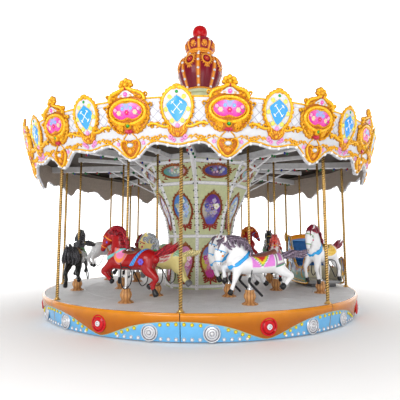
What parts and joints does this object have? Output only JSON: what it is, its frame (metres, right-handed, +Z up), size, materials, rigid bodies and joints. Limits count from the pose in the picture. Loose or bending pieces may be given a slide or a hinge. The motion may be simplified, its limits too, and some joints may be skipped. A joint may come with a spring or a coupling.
{
  "type": "fairground carousel",
  "caption": "Fairground carousel: galloping horses on brass poles and a chariot ride on a round deck that turns under a crowned canopy.",
  "frame": {"origin": "on the ground at the turning axis", "axes": "+Z up along the turning axis, -Y through one of the outer poles and taken as the front"},
  "size_m": [6.1744, 6.1744, 5.43],
  "materials": {
    "painted_steel": "satin",
    "deck_grey": "matte",
    "skirt_orange": "gloss",
    "brass_tube": "polished",
    "core_green": "satin",
    "frame_white": "satin",
    "cover_cream": "matte",
    "board_white": "satin",
    "crown_red": "gloss",
    "chariot_blue": "gloss",
    "horse_red": "gloss",
    "horse_white": "gloss",
    "horse_black": "gloss",
    "horse_yellow": "gloss"
  },
  "bodies": {
    "ground_frame": {"ground_frame": "painted_steel"},
    "turntable": {"deck": "deck_grey", "skirt_1": "skirt_orange", "skirt_2": "skirt_orange", "skirt_3": "skirt_orange", "skirt_4": "skirt_orange", "skirt_5": "skirt_orange", "skirt_6": "skirt_orange", "skirt_7": "skirt_orange", "skirt_8": "skirt_orange", "outer_pole_1": "brass_tube", "outer_pole_2": "brass_tube", "outer_pole_3": "brass_tube", "outer_pole_4": "brass_tube", "outer_pole_5": "brass_tube", "outer_pole_6": "brass_tube", "outer_pole_7": "brass_tube", "outer_pole_8": "brass_tube", "core": "core_green", "roof_frame": "frame_white", "roof_cover": "cover_cream", "rounding_board_1": "board_white", "rounding_board_2": "board_white", "rounding_board_3": "board_white", "rounding_board_4": "board_white", "rounding_board_5": "board_white", "rounding_board_6": "board_white", "rounding_board_7": "board_white", "rounding_board_8": "board_white", "crown": "crown_red", "chariot": "chariot_blue"},
    "horse_outer_left_front": {"horse_outer_left_front": "horse_red"},
    "horse_outer_right_front": {"horse_outer_right_front": "horse_white"},
    "horse_outer_right": {"horse_outer_right": "horse_white"},
    "horse_outer_right_rear": {"horse_outer_right_rear": "horse_yellow"},
    "horse_outer_left_rear": {"horse_outer_left_rear": "horse_white"},
    "horse_outer_left_middle": {"horse_outer_left_middle": "horse_white"},
    "horse_outer_left": {"horse_outer_left": "horse_black"},
    "horse_inner_left_front": {"horse_inner_left_front": "horse_yellow"},
    "horse_inner_right_front": {"horse_inner_right_front": "horse_white"},
    "horse_inner_right": {"horse_inner_right": "horse_red"},
    "horse_inner_right_middle": {"horse_inner_right_middle": "horse_black"},
    "horse_inner_right_rear": {"horse_inner_right_rear": "horse_white"},
    "horse_inner_left_rear": {"horse_inner_left_rear": "horse_yellow"},
    "horse_inner_left_middle": {"horse_inner_left_middle": "horse_red"},
    "horse_inner_left": {"horse_inner_left": "horse_white"}
  },
  "joints": [
    {"name": "turntable_turn", "type": "hinge", "parent": "ground_frame", "child": "turntable", "pos_m": [0, 0, 0.25], "axis": [0, 0, 1], "continuous": true},
    {"name": "horse_outer_left_front_ride", "type": "slide", "parent": "turntable", "child": "horse_outer_left_front", "axis": [0, 0, 1], "range_m": [-0.099, 0.141]},
    {"name": "horse_outer_right_front_ride", "type": "slide", "parent": "turntable", "child": "horse_outer_right_front", "axis": [0, 0, 1], "range_m": [-0.056, 0.184]},
    {"name": "horse_outer_right_ride", "type": "slide", "parent": "turntable", "child": "horse_outer_right", "axis": [0, 0, 1], "range_m": [-0.145, 0.095]},
    {"name": "horse_outer_right_rear_ride", "type": "slide", "parent": "turntable", "child": "horse_outer_right_rear", "axis": [0, 0, 1], "range_m": [-0.22, 0.02]},
    {"name": "horse_outer_left_rear_ride", "type": "slide", "parent": "turntable", "child": "horse_outer_left_rear", "axis": [0, 0, 1], "range_m": [-0.05, 0.19]},
    {"name": "horse_outer_left_middle_ride", "type": "slide", "parent": "turntable", "child": "horse_outer_left_middle", "axis": [0, 0, 1], "range_m": [-0.18, 0.06]},
    {"name": "horse_outer_left_ride", "type": "slide", "parent": "turntable", "child": "horse_outer_left", "axis": [0, 0, 1], "range_m": [-0.083, 0.157]},
    {"name": "horse_inner_left_front_ride", "type": "slide", "parent": "turntable", "child": "horse_inner_left_front", "axis": [0, 0, 1], "range_m": [-0.06, 0.18]},
    {"name": "horse_inner_right_front_ride", "type": "slide", "parent": "turntable", "child": "horse_inner_right_front", "axis": [0, 0, 1], "range_m": [-0.02, 0.22]},
    {"name": "horse_inner_right_ride", "type": "slide", "parent": "turntable", "child": "horse_inner_right", "axis": [0, 0, 1], "range_m": [-0.09, 0.15]},
    {"name": "horse_inner_right_middle_ride", "type": "slide", "parent": "turntable", "child": "horse_inner_right_middle", "axis": [0, 0, 1], "range_m": [-0.14, 0.1]},
    {"name": "horse_inner_right_rear_ride", "type": "slide", "parent": "turntable", "child": "horse_inner_right_rear", "axis": [0, 0, 1], "range_m": [-0.04, 0.2]},
    {"name": "horse_inner_left_rear_ride", "type": "slide", "parent": "turntable", "child": "horse_inner_left_rear", "axis": [0, 0, 1], "range_m": [-0.13, 0.11]},
    {"name": "horse_inner_left_middle_ride", "type": "slide", "parent": "turntable", "child": "horse_inner_left_middle", "axis": [0, 0, 1], "range_m": [-0.07, 0.17]},
    {"name": "horse_inner_left_ride", "type": "slide", "parent": "turntable", "child": "horse_inner_left", "axis": [0, 0, 1], "range_m": [-0.12, 0.12]}
  ]
}
